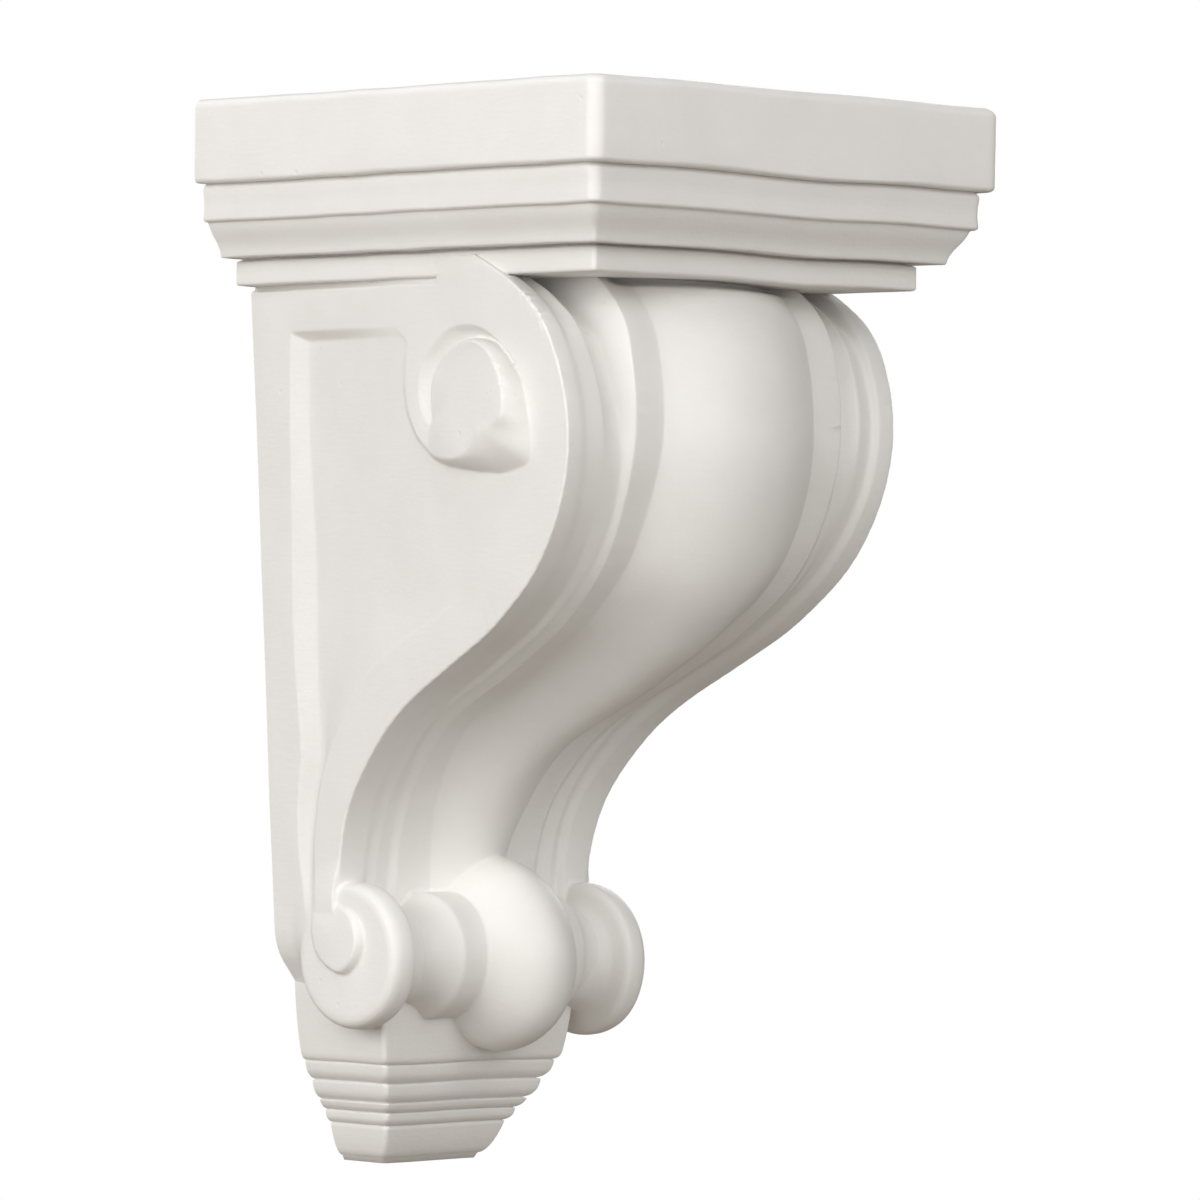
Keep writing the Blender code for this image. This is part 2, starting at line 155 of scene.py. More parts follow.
PANEL_STEP = ((40.0, 0.0), (86.0, 0.0), (95.0, 0.15), (105.0, 0.35), (112.0, 0.65), (120.0, 0.95),
              (130.0, 1.1), (137.0, 0.8), (142.0, 0.45), (147.0, 0.0))
PANEL_TOP = 41.2
PANEL_TOP_BEVEL = 1.6
STEP_WIDTH = 1.9         # width of the step up where the floor runs out

# Upper volute on each side: centre, and values by compass angle (0 front, 90 up, 180 wall)
VOLUTE = (60.5, 54.0)
LEAF_LINE = ((147.0, 40.0), (148.5, 20.0), (159.0, 19.4), (171.0, 18.9), (187.0, 18.2), (195.0, 17.6),
             (204.0, 16.9), (221.0, 15.0), (241.0, 13.0), (266.0, 12.4), (285.0, 14.0), (300.0, 20.0),
             (312.0, 40.0))
LEAF_RISE = ((148.0, 0.0), (170.0, 0.2), (187.0, 0.45), (204.0, 0.9), (221.0, 1.7), (241.0, 2.7),
             (255.0, 2.0), (270.0, 0.0))
SNAIL_BASE = ((0.0, 13.9), (12.0, 12.9), (22.0, 12.0), (50.0, 11.1), (75.0, 10.4), (102.0, 10.0),
              (128.0, 10.1), (150.0, 10.7), (171.0, 11.2), (190.0, 11.2), (200.0, 11.6), (208.0, 14.0),
              (215.0, 15.8), (222.0, 15.4), (233.0, 14.2), (249.0, 12.9), (266.0, 12.5), (286.0, 13.3),
              (300.0, 15.1), (312.0, 16.8), (322.0, 18.6), (328.0, 18.5), (340.0, 16.4), (350.0, 15.0))
SNAIL_FACE = ((0.0, 13.2), (12.0, 12.4), (24.0, 11.6), (46.0, 10.6), (75.0, 9.8), (102.0, 9.3),
              (128.0, 9.3), (150.0, 9.8), (171.0, 10.2), (190.0, 10.1), (200.0, 10.3), (208.0, 12.8),
              (215.0, 14.4), (222.0, 13.8), (233.0, 12.6), (249.0, 11.2), (266.0, 10.3), (297.0, 9.3),
              (317.0, 9.0), (332.0, 10.4), (344.0, 13.0))
SNAIL_RISE = ((0.0, 4.6), (24.0, 3.6), (52.0, 2.3), (88.0, 1.3), (140.0, 0.8), (180.0, 0.7),
              (205.0, 0.9), (215.0, 1.2), (225.0, 1.9), (250.0, 3.4), (275.0, 4.6), (320.0, 5.2))
SNAIL_CENTRE_RISE = 2.9
SNAIL_TILT = (0.17, 0.16)    # the face rises this much per mm forward and per mm down
SNAIL_DOME = 0.5
SNAIL_SINK = 4.5             # its flank goes on this deep inside the body
GROOVE_OUTER = ((224.0, 10.6), (204.0, 12.0), (194.0, 13.1), (183.0, 14.1), (165.0, 14.6), (150.0, 14.3),
                (136.0, 13.5), (118.0, 13.5), (98.0, 12.7), (80.0, 12.4), (63.0, 12.1), (42.0, 12.1),
                (26.0, 12.8), (10.0, 14.0), (-12.0, 15.6))
GROOVE_INNER = ((224.0, 9.4), (204.0, 10.0), (190.0, 10.6), (171.0, 10.8), (150.0, 10.3), (128.0, 9.6),
                (102.0, 9.5), (75.0, 10.0), (50.0, 10.9), (26.0, 12.0), (10.0, 13.3), (-12.0, 15.0))
GROOVE_DEPTH = ((224.0, 0.0), (209.0, 0.35), (190.0, 0.8), (171.0, 1.2), (150.0, 1.6), (118.0, 2.2),
                (76.0, 2.4), (40.0, 1.9), (15.0, 0.9), (-12.0, 0.0))

# Roller between the small volutes: (x, radius) of the turned profile, and its slight lean
AXIS_FORWARD = 21.2
AXIS_DROP = 153.1
AXIS_LEAN = 0.027        # the casting's right end sits lower
DISC_FACE = 31.4
DISC_RADIUS = 13.55
DISC_GROWTH = 0.011      # the right disc is a little larger
DISC = ((DISC_FACE, 0.0), (DISC_FACE, 6.0), (DISC_FACE, 11.3), (31.2, 12.3), (30.6, 13.0),
        (29.6, 13.4), (28.2, DISC_RADIUS), (27.0, 13.5), (26.4, 13.2), (26.0, 12.5), (25.7, 11.2),
        (25.2, 10.0), (24.3, 9.2), (22.8, 8.6), (20.8, 8.3), (0.0, 8.3))
ROLLER_BACK = 0.4        # no part of the roller comes nearer to the wall
COLLAR_MIDDLE = 1.7      # the collars and the ball sit a little to the right
COLLAR_FORWARD = 21.7
COLLAR_DROP = 152.5
COLLAR = ((21.5, 4.0), (21.5, 8.3), (20.0, 8.4), (18.5, 8.8), (17.2, 9.5), (16.2, 10.3), (15.5, 11.05),
          (15.2, 11.3), (14.7, 11.45), (12.0, 11.4), (8.0, 11.35), (6.0, 11.0), (0.0, 11.0))
BALL_MIDDLE = 2.4
BALL_FORWARD = 24.1
BALL_DROP = 152.2
BALL_SIZES = (11.7, 17.5, 17.8)     # half its length, depth and height
BALL_LEAN = 0.1

# Spiral eye on each small volute, by compass angle
EYE = (19.3, 150.3)
EYE_LINE = ((0.0, 6.8), (45.0, 6.4), (80.0, 6.1), (115.0, 7.2), (145.0, 8.1), (165.0, 7.4), (185.0, 6.5),
            (225.0, 5.7), (255.0, 5.6), (290.0, 6.6), (320.0, 6.6))
EYE_RISE = ((0.0, 1.7), (30.0, 1.4), (60.0, 0.8), (90.0, 0.35), (130.0, 0.2), (160.0, 0.35),
            (185.0, 0.5), (225.0, 0.8), (255.0, 1.2), (290.0, 1.6), (320.0, 1.8))
EYE_FACE = 0.86          # share of its radius that is face, before the step down
EYE_DOME = 0.25
EYE_SINK = 2.5           # its flank goes on this deep inside the disc

# Swell of the side that meets the small volute's face
DISC_SWELL = 1.3
SWELL_REACH = (11.0, 19.0)   # full inside the first distance from the roller's axis, nil at the second
SWELL_START = (3.0, 8.0)     # and nil at the wall, full from the second distance out

# Small flaked places of the left side: (x, forward, drop), radius and roughness
FLAKES = (((-42.2, 77.5, 35.5), 4.0, 0.26), ((-43.0, 80.5, 39.5), 3.5, 0.2),
          ((-43.0, 72.5, 47.0), 3.4, 0.26), ((-43.0, 74.0, 51.0), 3.0, 0.2))
FLAKE_WAVES = (2.3, 1.7, 1.3, 1.0)      # wave lengths
FLAKE_WAY = (-0.8, -0.5, 0.3)           # the way the waves push the surface, in the frame

# Waviness of a hand-finished casting
WAVES = (58.0, 41.0, 33.0, 25.0, 19.0, 14.0)
WAVE_HEIGHT = 0.0022     # times the wave's length to the power 0.9
WAVE_CALM = 8.0          # it fades within this distance from the wall

# Foot: each band as (half width, forward, drop) at its top and at its bottom
FOOT_TOP = (24.2, 23.4, 150.0)
FOOT_BANDS = (((24.0, 23.2, 158.0), (22.1, 22.0, 171.9)), ((21.3, 21.2, 172.2), (19.9, 19.9, 175.4)),
              ((19.5, 19.6, 175.7), (18.1, 18.3, 179.0)), ((17.7, 17.9, 179.3), (16.5, 16.8, 180.9)),
              ((16.2, 16.4, 181.2), (15.4, 15.5, 183.3)), ((14.9, 15.0, 183.6), (12.6, 12.0, 189.6)))
FOOT_SOLE = (11.4, 10.8, HEIGHT)
FOOT_CORE = (8.0, 6.0)       # half width and reach where its top and its sole are closed
FOOT_STEPS = 36
FOOT_CORNER = 0.8
FOOT_BAND_CORNER = 0.9
FOOT_BULGE = 0.3             # of a band that is at least this high:
FOOT_BULGE_HEIGHT = 3.2
FOOT_TURN_IN = 1.5           # most height over which a band rounds under
FOOT_TURN_DEPTH = 0.5        # how far it goes in there, as a share of that height
FOOT_CREASE = 0.3            # and this much more in the crease

# White primer
PRIMER_LIGHT = (0.846, 0.835, 0.816, 1.0)
PRIMER_SHADE = (0.818, 0.804, 0.780, 1.0)
PRIMER_ROUGHNESS = 0.5
PRIMER_SPECULAR = 0.4

# Soft lights round the corbel: azimuth from the front, elevation, watts
LIGHTS = ((-95.0, 10.0, 10.2), (-70.0, 10.0, 4.2), (-75.0, 30.0, 4.6), (-35.0, 12.0, 3.4),
          (0.0, 10.0, 4.0), (0.0, 30.0, 4.4), (-40.0, 65.0, 3.8), (35.0, 10.0, 1.4),
          (120.0, 20.0, 6.0), (180.0, 30.0, 6.0))
LIGHT_DISTANCE = 1.6     # metres
LIGHT_SIZE = 0.7         # metres
SURROUND_LIGHT = 0.13
SURROUND_TINT = (1.0, 0.95, 0.87, 1.0)
WHITE = (1.0, 1.0, 1.0, 1.0)
FLOOR_COLOUR = (0.32, 0.29, 0.25, 1.0)
FLOOR_REACH = 3.0        # metres
FLOOR_GAP = 0.35         # metres below the foot

# Camera, fitted to the cap's corners and the foot
AIM = Vector((0.94, -51.73, TOP - 88.36)) * MM
CAMERA_AZIMUTH = -44.715
CAMERA_ELEVATION = -0.4275
CAMERA_ROLL = 0.7175
CAMERA_DISTANCE = 1282.4 * MM
CAMERA_LENS = 216.2
CAMERA_SENSOR = 36.0


def in_order(table):
    """Keys and values of a table, keys rising."""
    table = np.array(table, float)
    return table[np.argsort(table[:, 0], kind="stable")].T


def spline(table, where):
    """Natural cubic spline through the table's points (key, value)."""
    keys, values = np.array(table, float).T
    gaps = np.diff(keys)
    rises = np.diff(values) / gaps
    system = np.diag(2 * (gaps[:-1] + gaps[1:])) + np.diag(gaps[1:-1], 1) + np.diag(gaps[1:-1], -1)
    bends = np.zeros(len(keys))
    bends[1:-1] = np.linalg.solve(system, 6 * np.diff(rises))
    where = np.clip(np.asarray(where, float), keys[0], keys[-1])
    cell = np.clip(np.searchsorted(keys, where, side="right") - 1, 0, len(keys) - 2)
    gap, before, after = gaps[cell], keys[cell + 1] - where, where - keys[cell]
    return ((bends[cell] * before ** 3 + bends[cell + 1] * after ** 3) / (6 * gap)
            + (values[cell] / gap - bends[cell] * gap / 6) * before
            + (values[cell + 1] / gap - bends[cell + 1] * gap / 6) * after)


def soft(table, where, spread=3.0):
    """Straight lines between the table's points, averaged over a window so that no corner shows."""
    keys, values = in_order(table)
    return np.mean([np.interp(where + offset, keys, values)
                    for offset in np.linspace(-spread, spread, 9)], axis=0)


def soft_turn(table, turn, spread=7.0):
    """The same for a table by compass angle in degrees, closed round."""
    keys, values = in_order(table)
    return np.mean([np.interp(turn + offset, keys, values, period=360.0)
                    for offset in np.linspace(-spread, spread, 9)], axis=0)


def share(value, start, end):
    """How far a value is on its way from start to end, from 0 to 1."""
    return np.clip((value - start) / (end - start), 0.0, 1.0)


def ease(value, start, end):
    """The same, easing in and out: 3t^2 - 2t^3."""
    part = share(value, start, end)
    return part * part * (3 - 2 * part)


def compass(forward, drop, centre):
    """Compass angle in degrees, from 0 to 360, and distance of points from a centre on the side."""
    out, up = forward - centre[0], centre[1] - drop
    return np.degrees(np.arctan2(up, out)) % 360.0, np.hypot(out, up)


def side_half(forward, drop):
    """Half width of the body on its side plane."""
    return SIDE_TOP_HALF - SIDE_TAPER * (drop - CAP_DROP) + SIDE_FLARE * forward


def unevenness(points):
    """Slight waviness of the casting: a sum of sines over space, in mm, flat at the wall."""
    dice = np.random.default_rng(11)
    total = np.zeros_like(points)
    for length in WAVES:
        direction = dice.normal(size=3)
        wave = dice.normal(size=3)
        phase = points @ (wave / np.linalg.norm(wave)) * (2 * math.pi / length) + dice.uniform(0, 6.28)
        total += (WAVE_HEIGHT * length ** 0.9 * np.sin(phase))[..., None] * direction
    total[..., 1] *= share(-points[..., 1], 0.0, WAVE_CALM)
    return total


def flaked(corners):
    """Points of the casting roughened in its flaked places: short waves that fade with the distance."""
    dice = np.random.default_rng(5)
    corners = corners.copy()
    for (x, forward, drop), radius, rough in FLAKES:
        offset = corners - np.array([x, -forward, TOP - drop])
        distance = np.linalg.norm(offset, axis=1)
        near = distance < radius
        rise = 0.0
        for length in FLAKE_WAVES:
            wave = dice.normal(size=(2, 3)) * (2 * math.pi / length)
            along = np.sin(offset[near] @ wave[0] + dice.uniform(0, 6.28))
            rise = rise + along * np.cos(offset[near] @ wave[1])
        push = rough * (1 - (distance[near] / radius) ** 2) * rise
        corners[near] += push[:, None] * np.array(FLAKE_WAY)
    return corners


def place(x, forward, drop):
    """Design millimetres as the casting's points, in millimetres of the frame."""
    x, forward, drop = np.broadcast_arrays(x, forward, drop)
    points = np.stack([x, -forward, TOP - drop], axis=-1).astype(float)
    return points + unevenness(points)


def skin(points):
    """A closed skin over a grid of points: rows of rings, each end closed by a fan to its middle."""
    rows, around = points.shape[:2]
    index = np.arange(rows * around).reshape(rows, around)
    beside = np.roll(index, -1, axis=1)
    quads = np.stack([index[:-1], beside[:-1], beside[1:], index[1:]], axis=-1).reshape(-1, 4)
    first, last = rows * around, rows * around + 1
    start = np.stack([beside[0], index[0], np.full(around, first)], axis=-1)
    end = np.stack([index[-1], beside[-1], np.full(around, last)], axis=-1)
    corners = np.concatenate([points.reshape(-1, 3), points[0].mean(0)[None], points[-1].mean(0)[None]])
    return corners, quads, np.concatenate([start, end])


def plan_ring(half, forward, drop, radius, steps=60):
    """Rectangle in plan from the wall out, its front corners rounded and its back ones crisp."""
    turn = np.radians(np.linspace(0, 90, 9))
    start = 2 * BACK_HAIR
    side = np.concatenate([[0.0, BACK_HAIR],
                           np.linspace(start, forward - radius, steps, endpoint=False)])
    x = np.concatenate([np.full(len(side), half), half - radius + radius * np.cos(turn)])
    out = np.concatenate([side, forward - radius + radius * np.sin(turn)])
    across = np.linspace(half - radius, 0.0, steps // 2)[1:]
    x = np.concatenate([x, across])
    out = np.concatenate([out, np.full(len(across), forward)])
    behind = np.linspace(-half + BACK_HAIR, half - BACK_HAIR, steps // 3)
    x = np.concatenate([x, -x[-2::-1], behind])
    out = np.concatenate([out, out[-2::-1], np.zeros(len(behind))])
    return place(x, out, drop)


def arc(centre, radii, start, end, steps):
    """Points of an ellipse's arc as (inset, drop): centre + (rx cos a, ry sin a)."""
    turn = np.radians(np.linspace(start, end, steps))
    return [(centre[0] + radii[0] * math.cos(a), centre[1] + radii[1] * math.sin(a)) for a in turn]


def cap_profile():
    """The cap's profile as (inset, drop): rounded slab, band, cove and neck band."""
    top, under = SLAB_TOP_ROUND, SLAB_FOOT_ROUND
    profile = [(CAP_CORE, 0.0), (2.4, 0.0)] + arc((top, top), (top, top), 270, 180, 9)
    profile += [(0.02, 3.5), (0.0, 7.0), (0.02, 10.5)]
    profile += arc((under, SLAB_DROP - under), (under, under), 180, 90, 7)
    profile += crease(BAND_INSET, SLAB_DROP, *BAND_CREASE)
    profile += [(BAND_INSET + 0.2, SLAB_DROP + 2.6), (BAND_INSET + 0.25, BAND_DROP - 2.4)]
    profile += arc((BAND_INSET + 0.75, BAND_DROP - BAND_ROUND[1]), BAND_ROUND, 180, 110, 5)
    profile += list(COVE)
    profile += [(NECK_INSET - 0.6, COVE_DROP - 0.1)] + crease(NECK_INSET, COVE_DROP, *NECK_CREASE)
    profile += [(NECK_INSET, CAP_DROP - 2.0)]
    profile += arc((NECK_INSET + NECK_ROUND, CAP_DROP - NECK_ROUND), (NECK_ROUND, NECK_ROUND),
                   180, 90, 6)
    profile += [(NECK_INSET + 1.4, CAP_DROP), (CAP_CORE, CAP_DROP)]
    return profile


def crease(inset, drop, depth, height):
    """The shadowed crease where a moulding meets the one above: in under it, then out to its face."""
    return [(inset + 0.3 * depth, drop - 0.02), (inset + depth, drop - 0.1),
            (inset + depth + 0.05, drop), (inset + 0.6 * depth, drop + 0.35 * height),
            (inset + 0.2 * depth, drop + 0.7 * height),
            (inset + 0.02, drop + 1.05 * height), (inset, drop + 1.5 * height)]


def cap_skin():
    """The square cap: a point is the profile's (inset, drop) carried round the plan's rectangle."""
    rings = []
    for inset, drop in cap_profile():
        radius = max(LEAST_CORNER, CORNER_ROUND - CORNER_LOSS * inset)
        rings.append(plan_ring(WIDTH / 2 - inset, DEPTH - inset, drop, radius))
    return skin(np.array(rings))


def foot_skin():
    """The stepped foot: each band leans in, bulges a little and rounds under to the band below it."""
    inside, inside_sole = FOOT_CORE
    rings = [plan_ring(inside, inside, FOOT_TOP[2], FOOT_CORNER, FOOT_STEPS),
             plan_ring(*FOOT_TOP, FOOT_CORNER, FOOT_STEPS)]
    for upper, lower in FOOT_BANDS:
        upper, lower = np.array(upper), np.array(lower)
        height = lower[2] - upper[2]
        turn_in = min(FOOT_TURN_IN, 0.5 * height)
        start = 1 - turn_in / height
        parts = np.concatenate([[0.0, 0.1, 0.25, 0.45, 0.6, 0.75], np.linspace(start, 1.0, 7)])
        for part in np.unique(parts):
            half, forward, drop = upper + (lower - upper) * part
            under = share(part, start, 1.0)
            bulge = FOOT_BULGE * math.sin(math.pi * part) * min(1.0, height / FOOT_BULGE_HEIGHT)
            bulge -= FOOT_TURN_DEPTH * turn_in * (1 - math.sqrt(1 - under ** 2))
            rings.append(plan_ring(half + bulge, forward + bulge, drop, FOOT_BAND_CORNER, FOOT_STEPS))
        inward = FOOT_TURN_DEPTH * turn_in + FOOT_CREASE
        rings.append(plan_ring(lower[0] - inward, lower[1] - inward, lower[2] + 0.1, FOOT_CORNER,
                               FOOT_STEPS))
    rings[-1] = plan_ring(*FOOT_SOLE, FOOT_CORNER, FOOT_STEPS)
    rings.append(plan_ring(inside_sole, inside_sole, HEIGHT, FOOT_CORNER, FOOT_STEPS))
    return skin(np.array(rings))


def body_levels():
    """Levels down the S-curve, equal steps apart along its length."""
    drops = np.linspace(BODY_TOP, BODY_BOTTOM, 4000)
    reach = spline(FRONT_CURVE, drops)
    length = np.concatenate([[0.0], np.cumsum(np.hypot(np.diff(drops), np.diff(reach)))])
    return np.interp(np.arange(0.0, length[-1], GRID), length, drops)


def panel_depth(forward, drop):
    """Depth of the sunk panel: a bevel along its wall side and top, a floor that rises to the front."""
    inner = spline(PANEL_INNER, drop)
    run_out = spline(PANEL_RUN_OUT, drop)
    lip = soft(PANEL_STEP, drop)
    floor = lip + (soft(PANEL_DEPTH, drop) - lip) * (1 - ease(forward, inner + 1.0, run_out))
    floor = floor * (1 - ease(forward, run_out - STEP_WIDTH / 2, run_out + STEP_WIDTH / 2))
    wall_bevel = share(forward, spline(PANEL_OUTER, drop), inner)
    top_bevel = share(drop, PANEL_TOP, PANEL_TOP + PANEL_TOP_BEVEL)
    turn, radius = compass(forward, drop, VOLUTE)
    line = soft_turn(LEAF_LINE, turn, 1.0)
    outside = ease(radius, line - 0.6, line + 0.4)
    return floor * np.minimum(wall_bevel, top_bevel) * outside


def leaf_rise(forward, drop):
    """Rise of the volute's outer turn, from flush at its upper wall side to proud below."""
    turn, radius = compass(forward, drop, VOLUTE)
    line = soft_turn(LEAF_LINE, turn, 1.0)
    return soft_turn(LEAF_RISE, turn) * (1 - ease(radius, line - 1.3, line))


def groove_depth(forward, drop):
    """Depth of the volute's spiral groove: a slope from its outer line down to the snail's rim."""
    turn, radius = compass(forward, drop, VOLUTE)
    turn = np.where(turn > 290.0, turn - 360.0, turn)
    part = share(radius, soft(GROOVE_OUTER, turn, 6.0), soft(GROOVE_INNER, turn, 6.0))
    return soft(GROOVE_DEPTH, turn, 6.0) * np.sin(part * math.pi / 2)


def disc_swell(forward, drop):
    """Swell of the side up to the face of the small volute's disc."""
    distance = np.hypot(forward - AXIS_FORWARD, drop - AXIS_DROP)
    return DISC_SWELL * (1 - ease(distance, *SWELL_REACH)) * ease(forward, *SWELL_START)


def neck_groove(forward, drop):
    """Depth of the dark groove along the top of the side, under the neck."""
    upper, lower = NECK_GROOVE_EDGE
    before, after = NECK_GROOVE_FADE
    return (NECK_GROOVE * (1 - ease(drop, CAP_DROP + upper, CAP_DROP + lower))
            * (1 - ease(forward, NECK_GROOVE_END - before, NECK_GROOVE_END + after)))


def side_relief(forward, drop):
    """How far the side stands out of its plane."""
    return (leaf_rise(forward, drop) + disc_swell(forward, drop) - panel_depth(forward, drop)
            - groove_depth(forward, drop) - neck_groove(forward, drop))


def side_columns(level, reach, lean):
    """Forward and drop of the side's points: columns keep to the panel's lines from row to row."""
    end = (reach - EDGE_ROUND / np.hypot(1.0, lean))[:, None]
    outer = spline(PANEL_OUTER, level)[:, None]
    inner = spline(PANEL_INNER, level)[:, None]
    edge = np.minimum(spline(PANEL_RUN_OUT, level)[:, None], end - 2.0)
    stops = [np.full_like(end, -BACK_SPARE), outer, inner, np.maximum(edge - 1.0, inner + 0.4),
             edge + 1.0, end]
    counts = (24, 14, 130, 8, 90)
    columns = [low_stop + (high_stop - low_stop) * np.linspace(0, 1, count, endpoint=False)
               for low_stop, high_stop, count in zip(stops, stops[1:], counts)]
    forward = np.concatenate(columns + [end], axis=1)
    shift = (EDGE_ROUND * lean / np.hypot(1.0, lean))[:, None]
    return forward, level[:, None] + shift * np.maximum(forward, 0.0) / end


def front_columns(level, edge, openness):
    """Half width and rise of the front's points from the edge band inward.

    The edge turns on a quarter circle, then a flat band, a quirk, a facet up to a soft ridge, a slope
    down to a leaning wall whose foot is hollow, a flat fillet, and the roll, whose rise is its crown
    times 1 - (x / half)^2, blended where the front hollows with the softer (1 + cos(pi x / half)) / 2.
    The openness tells how much of the quirk the thick primer leaves open.
    """
    level = level[:, None]
    edge = edge[:, None]
    openness = soft(openness, level)
    band_edge = soft(BAND_EDGE, level)
    filled = QUIRK_FILL_REACH * (1 - openness)
    quirk = np.minimum(spline(QUIRK_HALF, level), edge - band_edge - filled - QUIRK_LAND)
    band_edge = band_edge + filled
    ridge = spline(RIDGE_HALF, level)
    fillet = spline(FILLET_HALF, level)
    roll = spline(ROLL_HALF, level)
    ridge_rise = soft(RIDGE_RISE, level) * (0.4 + 0.6 * openness)
    quirk_rise = soft(QUIRK_RISE, level) * openness
    fillet_rise = soft(FILLET_RISE, level)
    base_rise = fillet_rise - soft(WALL_HEIGHT, level)
    crown = soft(CROWN_RISE, level)
    blend = soft(ROLL_BLEND, level)
    roll = roll + ROLL_BLEND_REACH * blend
    lean = np.minimum(soft(WALL_LEAN, level), ridge - fillet - 0.6)
    turn = np.radians(np.linspace(0.0, 90.0, 9))[None, :-1]
    band, down, facet, slope, wall, flat = (np.linspace(0, 1, count, endpoint=False)[None]
                                            for count in (14, 10, 16, 24, 16, 16))
    over = np.linspace(0, 1, 50)[None]
    x = [edge - EDGE_ROUND * (1 - np.cos(turn)),
         edge - EDGE_ROUND + (quirk + band_edge - edge + EDGE_ROUND) * band,
         quirk + band_edge * (1 - down),
         quirk + (ridge - quirk) * facet,
         ridge + (fillet + lean - ridge) * slope,
         fillet + lean * (1 - wall),
         fillet + (roll - fillet) * flat,
         roll * (1 - over)]
    rise = [EDGE_ROUND * (np.sin(turn) - 1) + 0.0 * edge,
            0.0 * edge + 0.0 * band,
            quirk_rise * ease(down, 0.0, 1.0),
            quirk_rise + (ridge_rise - quirk_rise) * ease(facet, 0.0, 1.0),
            ridge_rise + (base_rise - ridge_rise) * ease(slope, -0.35, 1.0),
            base_rise + (fillet_rise - base_rise) * wall ** 1.25,
            fillet_rise + 0.0 * flat,
            fillet_rise + crown * ((1 - blend) * (1 - (1 - over) ** 2)
                                   + blend * (1 - np.cos(math.pi * over)) / 2)]
    return np.concatenate(x, axis=1), np.concatenate(rise, axis=1)


def under_cap_gap(half, drop):
    """How far the front goes in just under the cap, between the fillets."""
    upper, lower = GAP_EDGE
    return GAP_DEPTH * (1 - ease(drop, CAP_DROP + upper, CAP_DROP + lower)) * (1 - ease(half, *GAP_ENDS))


def body_skin():
    """The body: a row is a level of the S-curve, and a ring runs over a side, the front and the back.

    A front point is the curve's point at its level moved by its rise along the curve's normal.
    """
    level = body_levels()
    reach = spline(FRONT_CURVE, level)
    lean = np.gradient(reach, level)
    loss = soft(CHAMFER_LOSS, level, 1.0)[:, None]
    forward, drop = side_columns(level, reach, lean)
    side = side_half(forward, drop) - loss + side_relief(forward, drop)
    edge = side_half(reach, level) - loss[:, 0]
    square = np.hypot(1.0, lean)[:, None]
    halves = []
    for openness in (QUIRK_OPEN_RIGHT, QUIRK_OPEN_LEFT):
        half, rise = front_columns(level, edge, openness)
        front_drop = level[:, None] - rise * lean[:, None] / square
        front_forward = reach[:, None] + rise / square - under_cap_gap(half, front_drop)
        halves.append([np.concatenate([side, half], axis=1),
                       np.concatenate([forward, front_forward], axis=1),
                       np.concatenate([drop, front_drop], axis=1)])
    (x, out, down), (left_x, left_out, left_down) = halves
    back = np.linspace(-1.0, 1.0, 60)[None, 1:-1]
    x = np.concatenate([x, -left_x[:, -2::-1], back * x[:, :1]], axis=1)
    out = np.concatenate([out, left_out[:, -2::-1], 0.0 * back + 0.0 * loss - BACK_SPARE], axis=1)
    down = np.concatenate([down, left_down[:, -2::-1], 0.0 * back + level[:, None]], axis=1)
    return skin(place(x, out, down))


def snail_skin(side):
    """The raised snail of an upper volute, in polar rings.

    The face is a plane tilted to the front and down, less a dome times (r / rim)^2, and reaches the
    rim's own heights near its edge; the flank is convex.
    """
    turn = np.linspace(0.0, 360.0, 300, endpoint=False)
    face, base = soft_turn(SNAIL_FACE, turn, 4.0), soft_turn(SNAIL_BASE, turn, 3.0)
    rise = soft_turn(SNAIL_RISE, turn)
    rings = []
    slope = SNAIL_TILT[0] * np.cos(np.radians(turn)) - SNAIL_TILT[1] * np.sin(np.radians(turn))
    for part in np.linspace(0.01, 1.0, 30):
        plane = SNAIL_CENTRE_RISE + slope * face * part - SNAIL_DOME * part ** 2
        rings.append((face * part, plane + (rise - plane) * part ** 5))
    for part in np.linspace(0.0, 1.0, 22)[1:]:
        rings.append((face + (base - face) * part, rise * (1 - part ** 1.7) - 0.3 * part))
    rings.append((base, np.full_like(turn, -SNAIL_SINK)))
    radius, height = np.array([r for r, _ in rings]), np.array([h for _, h in rings])
    forward = VOLUTE[0] + radius * np.cos(np.radians(turn))
    drop = VOLUTE[1] - radius * np.sin(np.radians(turn))
    return skin(place(side * (side_half(forward, drop) + height), forward, drop))


def axis_drop(x):
    """Drop of the roller's leaning axis."""
    return AXIS_DROP + AXIS_LEAN * x


def turned(profile):
    """Points along a turned profile (x, radius), evenly spaced and mirrored about its middle."""
    profile = np.array(profile)
    length = np.concatenate([[0.0], np.cumsum(np.hypot(*np.diff(profile, axis=0).T))])
    at = np.linspace(0.0, length[-1], int(length[-1] / 0.3))
    x = soft(np.stack([length, profile[:, 0]], axis=1), at, 0.2)
    radius = np.maximum(soft(np.stack([length, profile[:, 1]], axis=1), at, 0.2), 0.05)
    return np.concatenate([x, -x[-2::-1]]), np.concatenate([radius, radius[-2::-1]])


def roller_skin():
    """The roller and its end discs: the profile's radius carried round the leaning axis."""
    x, radius = turned(DISC)
    radius = radius * (1 + DISC_GROWTH / DISC_RADIUS * x)
    turn = np.linspace(0.0, 2 * math.pi, 240, endpoint=False)
    forward = AXIS_FORWARD + radius[:, None] * np.cos(turn)
    drop = axis_drop(x)[:, None] + radius[:, None] * np.sin(turn)
    return skin(place(x[:, None] + 0.0 * turn, np.maximum(forward, ROLLER_BACK), drop))


